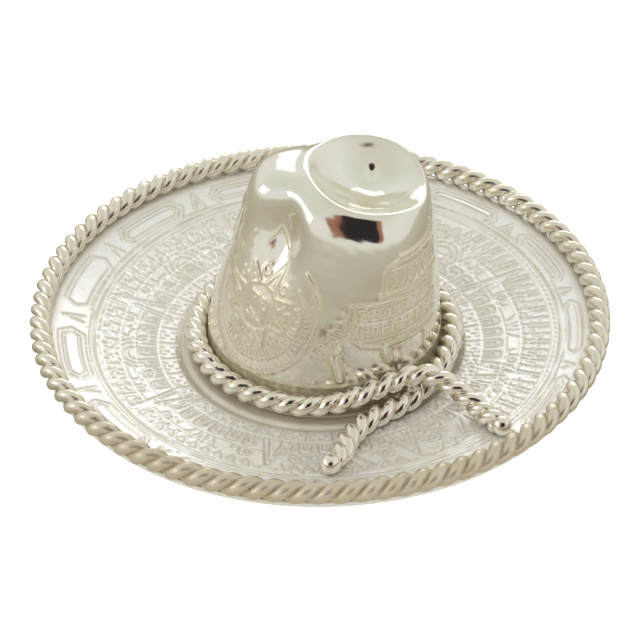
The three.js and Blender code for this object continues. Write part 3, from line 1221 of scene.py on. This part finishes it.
@dataclass
class WireRope:
    """A rope of two wires twisted round each other along a line."""

    name: str
    line: np.ndarray
    turns: float
    wire_radius: float = 0.87
    twist_radius: float = 0.68
    steps_per_turn: int = 28
    sides: int = 18
    cap_rings: int = 5
    finish: SilverFinish = BAND_SILVER
    # painted shade on the rope's front side: its strength, where it starts and how far it ramps up
    front_tarnish: float = 0.0
    front_start: float = 14.0
    front_run: float = 20.0

    def wire_path(self, strand: Strand) -> tuple[np.ndarray, np.ndarray]:
        """Winds one wire round the rope's line.

        Args:
            strand: Which of the two wires.

        Returns:
            The wire's middle line, and its direction away from the rope's middle.
        """
        steps = int(self.turns * self.steps_per_turn)
        length = np.concatenate([[0.0], np.cumsum(np.linalg.norm(np.diff(self.line, axis=0), axis=1))])
        wanted = np.linspace(0.0, length[-1], steps)
        middle = np.stack([np.interp(wanted, length, self.line[:, axis]) for axis in range(3)], axis=1)
        along = unit(np.gradient(middle, axis=0))
        outwards = unit(np.cross(along, np.array([0.0, 0.0, 1.0])))
        upwards = np.cross(outwards, along)
        turn = np.linspace(0.0, self.turns * TURN, steps) + strand.value
        radial = outwards * np.cos(turn)[:, None] + upwards * np.sin(turn)[:, None]
        return middle + radial * self.twist_radius, radial

    def build(self, strand: Strand, node: str) -> bpy.types.Object:
        """Models one wire with rounded ends.

        Args:
            strand: Which of the two wires.
            node: The CAD node that it stands for.

        Returns:
            The finished piece.
        """
        path, radial = self.wire_path(strand)
        path, radial = path[::-1], radial[::-1]
        along = unit(-np.gradient(path, axis=0))
        first = unit(radial - along * np.sum(radial * along, axis=1, keepdims=True))
        second = np.cross(along, first)
        wear = Ripples(0.018, 9.0, 31 + int(strand is Strand.SECOND))
        gauge = self.wire_radius * (1.0 + wear.over(path))

        caps = np.linspace(0.0, math.pi / 2.0, self.cap_rings, endpoint=False)
        shift = np.concatenate([np.cos(caps), np.zeros(len(path)), -np.cos(caps[::-1])]) * self.wire_radius
        shrink = np.concatenate([np.sin(caps), np.ones(len(path)), np.sin(caps[::-1])])
        index = np.clip(np.arange(-self.cap_rings, len(path) + self.cap_rings), 0, len(path) - 1)
        piece, turn, ring = add_shell_blank(f"{self.name}_{strand.name.lower()}", self.sides, len(index) - 1)
        angle = turn / self.sides * TURN
        row = index[ring]
        radius = (gauge[row] * shrink[ring])[:, None]
        places = path[row] + along[row] * shift[ring][:, None]
        places += radius * (first[row] * np.cos(angle)[:, None] + second[row] * np.sin(angle)[:, None])
        place_vertices(piece, places)
        # Painted shade on the side of the rope that faces the front
        front = self.front_tarnish * smoothstep((-places[:, 1] - self.front_start) / self.front_run)
        mark_tarnish_and_shade(piece, np.maximum(self.groove_and_shade(angle, first[row], second[row]), front))
        finish_piece(piece, self.finish, node)
        return piece

    @staticmethod
    def groove_and_shade(angle: np.ndarray, first: np.ndarray, second: np.ndarray) -> np.ndarray:
        """Tells how deep a point lies between the two wires, for tarnish, and how far it faces down, for
        painted shade on the rope's underside.

        Args:
            angle: Angle of the point round its wire.
            first: Direction away from the rope's middle.
            second: Direction across it.

        Returns:
            Tarnish and painted shade, from 0 to 1.
        """
        facing = first * np.cos(angle)[:, None] + second * np.sin(angle)[:, None]
        between = smoothstep((0.05 - np.cos(angle)) / 0.85)
        # painted shade on the rope's underside, which faces down
        under = smoothstep((-0.15 - facing[:, 2]) / 0.9)
        return np.maximum(between, 0.55 * under)


def smooth_line(corners: np.ndarray, steps: int = 14) -> np.ndarray:
    """Runs a centripetal Catmull-Rom curve through points.

    Args:
        corners: Points that the curve passes, as rows.
        steps: Points on each stretch between two corners.

    Returns:
        Points of the curve.
    """
    ends = np.vstack([2.0 * corners[0] - corners[1], corners, 2.0 * corners[-1] - corners[-2]])
    out = []
    for a, b, c, d in zip(ends[:-3], ends[1:-2], ends[2:-1], ends[3:]):
        gaps = (math.sqrt(np.linalg.norm(q - p)) for p, q in ((a, b), (b, c), (c, d)))
        k0, k1, k2, k3 = np.cumsum([0.0, *gaps])
        t = np.linspace(k1, k2, steps, endpoint=False)[:, None]
        ab = (k1 - t) / (k1 - k0) * a + (t - k0) / (k1 - k0) * b
        bc = (k2 - t) / (k2 - k1) * b + (t - k1) / (k2 - k1) * c
        cd = (k3 - t) / (k3 - k2) * c + (t - k2) / (k3 - k2) * d
        abc = (k2 - t) / (k2 - k0) * ab + (t - k0) / (k2 - k0) * bc
        bcd = (k3 - t) / (k3 - k1) * bc + (t - k1) / (k3 - k1) * cd
        out.append((k2 - t) / (k2 - k1) * abc + (t - k1) / (k2 - k1) * bcd)
    return np.vstack([*out, corners[-1:]])


@dataclass
class EdgeRope:
    """The rope round the brim's edge, with its seam at the back on the right."""

    radius: float = 38.45
    height: float = 6.3
    turns: float = 43.5
    seam_degrees: float = 43.0
    seam_gap: float = 0.5

    def build(self) -> None:
        """Models both wires and the solder that closes the seam."""
        start, end = self.seam_degrees + self.seam_gap, self.seam_degrees + 360.0 - self.seam_gap
        angle = np.radians(np.linspace(start, end, 1440))
        level = np.full_like(angle, self.height)
        line = np.stack([self.radius * np.cos(angle), self.radius * np.sin(angle), level], axis=1)
        rope = WireRope("edge_wire", line, self.turns, finish=EDGE_SILVER, front_tarnish=0.7)
        rope.build(Strand.FIRST, "edge_wire_1")
        rope.build(Strand.SECOND, "edge_wire_2")
        place = (*polar(self.seam_degrees, self.radius), self.height)
        SolderLump("edge_solder", place, (0.95, 0.95, 1.25), 41).build()


@dataclass
class BandRope:
    """The hat band: once round the foot of the crown, crossed at the front right, with two tails."""

    centre: Point = (0.6, 0.2)
    radii: Point = (17.85, 17.5)
    height: float = 2.95
    lay: float = 5.25
    left_tail: tuple[Triple, ...] = (
        (1.95, -29.2, 3.98),
        (2.7, -27.6, 3.62),
        (3.65, -24.2, 2.98),
        (5.05, -21.4, 2.6),
        (6.78, -19.2, 2.4),
        (8.65, -17.8, 2.38),
        (10.5, -16.45, 2.38),
        (12.4, -14.8, 2.45),
        (14.1, -12.4, 2.72),
        (16.05, -9.2, 2.95),
    )
    right_tail: tuple[Triple, ...] = (
        (-1.9, -17.22, 3.0),
        (0.5, -17.35, 3.3),
        (2.75, -17.3, 3.75),
        (4.8, -16.9, 4.2),
        (6.9, -16.05, 4.5),
        (9.0, -15.0, 4.8),
        (11.15, -14.15, 5.2),
        (13.1, -13.85, 5.55),
        (14.85, -14.1, 5.6),
        (16.5, -14.8, 5.2),
        (18.35, -16.0, 4.5),
        (20.05, -17.7, 4.0),
        (21.5, -19.9, 4.05),
        (22.5, -21.9, 4.5),
        (23.0, -22.9, 4.78),
    )

    def line(self) -> np.ndarray:
        """Runs the rope's middle line from the left ball, round the crown, to the right ball."""
        angle = np.radians(np.linspace(-17.0, 255.0, 25))
        x = self.centre[0] + self.radii[0] * np.cos(angle)
        y = self.centre[1] + self.radii[1] * np.sin(angle)
        ring = np.stack([x, y, np.full_like(angle, self.height)], axis=1)
        return smooth_line(np.vstack([np.array(self.left_tail), ring, np.array(self.right_tail)]))

    def build(self) -> None:
        """Models both wires."""
        line = self.line()
        length = float(np.linalg.norm(np.diff(line, axis=0), axis=1).sum())
        rope = WireRope("band_wire", line, length / self.lay)
        rope.build(Strand.FIRST, "band_wire_1")
        rope.build(Strand.SECOND, "band_wire_2")
        SolderLump("cross_solder", (12.3, -14.6, 3.9), (0.9, 0.7, 0.6), 42).build()


@dataclass
class SolderLump:
    """A small run of solder between two pieces."""

    name: str
    place: Triple
    reach: Triple
    seed: int

    def build(self) -> bpy.types.Object:
        """Models the lump.

        Returns:
            The finished piece.
        """
        piece, shape = add_ball(self.name, 28, 18)
        swell = 1.0 + Ripples(0.07, 1.5, self.seed).over(shape)
        place_vertices(piece, shape * swell[:, None] * np.array(self.reach) + np.array(self.place))
        # Tarnish all over, with painted shade growing towards the lump's underside
        mark_tarnish_and_shade(piece, 0.35 + 0.3 * (1.0 - shape[:, 2]))
        finish_piece(piece, BAND_SILVER)
        return piece


@dataclass
class BandBall:
    """The end of a tail, melted into a ball that rests on the brim."""

    name: str
    place: Triple
    tail: Triple
    seed: int
    radius: float = 1.4

    def build(self) -> bpy.types.Object:
        """Models the ball, drawn out a little towards its tail.

        Returns:
            The finished piece.
        """
        piece, shape = add_ball(self.name, 48, 32)
        towards = unit(np.array(self.tail) - np.array(self.place))
        neck = np.clip(shape @ towards, 0.0, 1.0) ** 3
        swell = 0.97 + Ripples(0.02, 1.4, self.seed).over(shape) + 0.10 * neck
        place_vertices(piece, shape * swell[:, None] * self.radius + np.array(self.place))
        # Tarnish in the neck towards the tail, and painted shade on the ball's underside
        mark_tarnish_and_shade(piece, np.maximum(0.8 * neck, 0.7 * smoothstep((-0.1 - shape[:, 2]) / 0.8)))
        finish_piece(piece, BAND_SILVER, self.name)
        return piece


# ----------------------------------------
# Studio
# ----------------------------------------


@dataclass(frozen=True)
class Softbox:
    """A rectangular light that faces the hat. Its place and sides are in metres."""

    name: str
    place: Triple
    size: Point
    radiance: float  # how bright its face is; the tent's walls are about 0.8
    colour: Triple
    mirrored: bool = True

    def build(self) -> None:
        """Adds the light."""
        data = bpy.data.lights.new(self.name, "AREA")
        data.shape = "RECTANGLE"
        data.size, data.size_y = self.size
        data.energy = self.radiance * math.pi * self.size[0] * self.size[1]
        data.color = self.colour
        light = bpy.data.objects.new(self.name, data)
        bpy.context.scene.collection.objects.link(light)
        turn = (Vector((0.0, 0.0, 0.01)) - Vector(self.place)).to_track_quat("-Z", "Y")
        light.matrix_world = Matrix.Translation(self.place) @ turn.to_matrix().to_4x4()
        light.visible_glossy = self.mirrored


@dataclass(frozen=True)
class Card:
    """A card behind the camera, for the silver to mirror. Its sides are in metres."""

    name: str
    back: float
    size: Point
    colour: Triple

    def build(self, view: Matrix) -> None:
        """Hangs the card.

        Args:
            view: The camera's place and direction.
        """
        deselect_all()
        bpy.ops.mesh.primitive_plane_add(size=1.0)
        card = bpy.context.active_object
        card.name = self.name
        scale = Matrix.Diagonal((*self.size, 1.0, 1.0))
        card.matrix_world = view @ Matrix.Translation((0.0, 0.0, self.back * MM)) @ scale
        material, build = start_material(self.name)
        glow = build.node("ShaderNodeEmission", {}, {"Color": (*self.colour, 1.0), "Strength": 1.0})
        build.node("ShaderNodeOutputMaterial", {}, {"Surface": glow.out()})
        card.data.materials.append(material)
        card.visible_camera = card.visible_diffuse = card.visible_shadow = False


SOFTBOXES = (
    Softbox("back_softbox", (0.09, 0.61, 0.27), (0.40, 0.34), 1.08, (1.0, 0.995, 0.995)),
    Softbox("left_softbox", (-0.70, -0.10, 0.34), (0.4, 0.3), 1.05, (1.0, 0.99, 0.97)),
    Softbox("fill_light", (-0.05, -0.25, 0.62), (0.6, 0.5), 1.25, (1.0, 0.995, 0.985), mirrored=False),
)
CARDS = (
    Card("card_black", 58.0, (0.30, 0.36), (0.022, 0.018, 0.022)),
    Card("card_brown", 62.0, (0.43, 0.37), (0.33, 0.15, 0.10)),
)
SKY = (  # height from the ground to overhead, and the sky's colour there
    (0.0, (0.34, 0.29, 0.20)),
    (0.32, (0.46, 0.43, 0.33)),
    (0.48, (0.54, 0.52, 0.42)),
    (0.53, (0.76, 0.75, 0.70)),
    (0.76, (0.79, 0.785, 0.75)),
    (1.0, (0.66, 0.655, 0.57)),
)


@dataclass
class Studio:
    """A white light tent over a pale floor, with a camera looking down at the hat."""

    distance: float = 360.0
    elevation: float = 37.25
    aim_height: float = 6.3
    lens: float = 146.6
    dip: float = 0.255
    roll: float = -0.43
    sensor: float = 36.0
    floor_side: float = 6.0

    def view_matrix(self) -> Matrix:
        """Gives the camera's place and direction."""
        back, up = polar(self.elevation, self.distance)
        place = Vector((0.0, -back, up + self.aim_height)) * MM
        look = Vector((0.0, 0.0, self.aim_height * MM)) - place
        turn = look.to_track_quat("-Z", "Y").to_matrix().to_4x4()
        dip = Matrix.Rotation(math.radians(-self.dip), 4, "X")
        roll = Matrix.Rotation(math.radians(self.roll), 4, "Z")
        return Matrix.Translation(place) @ turn @ (dip @ roll)

    def build(self) -> None:
        """Sets up the camera, the floor, the lights and the sky."""
        self.add_camera()
        self.add_floor()
        self.add_sky()
        for softbox in SOFTBOXES:
            softbox.build()
        for card in CARDS:
            card.build(self.view_matrix())
        bpy.context.scene.view_settings.view_transform = "Standard"

    def add_camera(self) -> None:
        """Adds the camera and makes it the scene's."""
        data = bpy.data.cameras.new("camera")
        data.lens = self.lens
        data.sensor_width = self.sensor
        data.clip_start = 0.01
        camera = bpy.data.objects.new("camera", data)
        bpy.context.scene.collection.objects.link(camera)
        camera.matrix_world = self.view_matrix()
        bpy.context.scene.camera = camera

    def add_floor(self) -> None:
        """Adds the pale, evenly lit floor."""
        deselect_all()
        bpy.ops.mesh.primitive_plane_add(size=self.floor_side)
        floor = bpy.context.active_object
        floor.name = "floor"
        material, build = start_material("floor_white")
        paint = {"Base Color": (0.86, 0.86, 0.85, 1.0), "Roughness": 0.9}
        glow = {"Emission Color": (1.0, 1.0, 1.0, 1.0), "Emission Strength": 0.75}
        shader = build.node("ShaderNodeBsdfPrincipled", {}, {**paint, **glow})
        build.node("ShaderNodeOutputMaterial", {}, {"Surface": shader.out()})
        floor.data.materials.append(material)
        floor.visible_glossy = False

    def add_sky(self) -> None:
        """Lights the scene from all round, cream at the horizon and white overhead."""
        world = bpy.data.worlds.new("tent")
        world.use_nodes = True
        bpy.context.scene.world = world
        build = FinishBuilder(world.node_tree)
        place = build.node("ShaderNodeTexCoord").out("Generated")
        height = build.node("ShaderNodeSeparateXYZ", {}, {0: place}).out("Z")
        stops = [(part, (*colour, 1.0)) for part, colour in SKY]
        upwards = Value(build, height) * 0.5 + 0.5
        colour = build.node("ShaderNodeValToRGB", {"stops": stops}, {"Fac": upwards}).out("Color")
        shine = build.node("ShaderNodeBackground", {}, {"Color": colour, "Strength": 1.0})
        build.node("ShaderNodeOutputWorld", {}, {"Surface": shine.out()})


def main() -> None:
    """Builds the sombrero and the studio round it."""
    logging.basicConfig(level=logging.INFO, format="%(name)s: %(message)s")
    Studio().build()
    Brim().build()
    Crown().build()
    EdgeRope().build()
    BandRope().build()
    BandBall("band_ball_left", (1.27, -30.6, 4.25), (1.95, -29.2, 3.98), 51).build()
    BandBall("band_ball_right", (23.78, -24.25, 5.2), (23.0, -22.9, 4.78), 52).build()


if __name__ == "__main__":
    main()
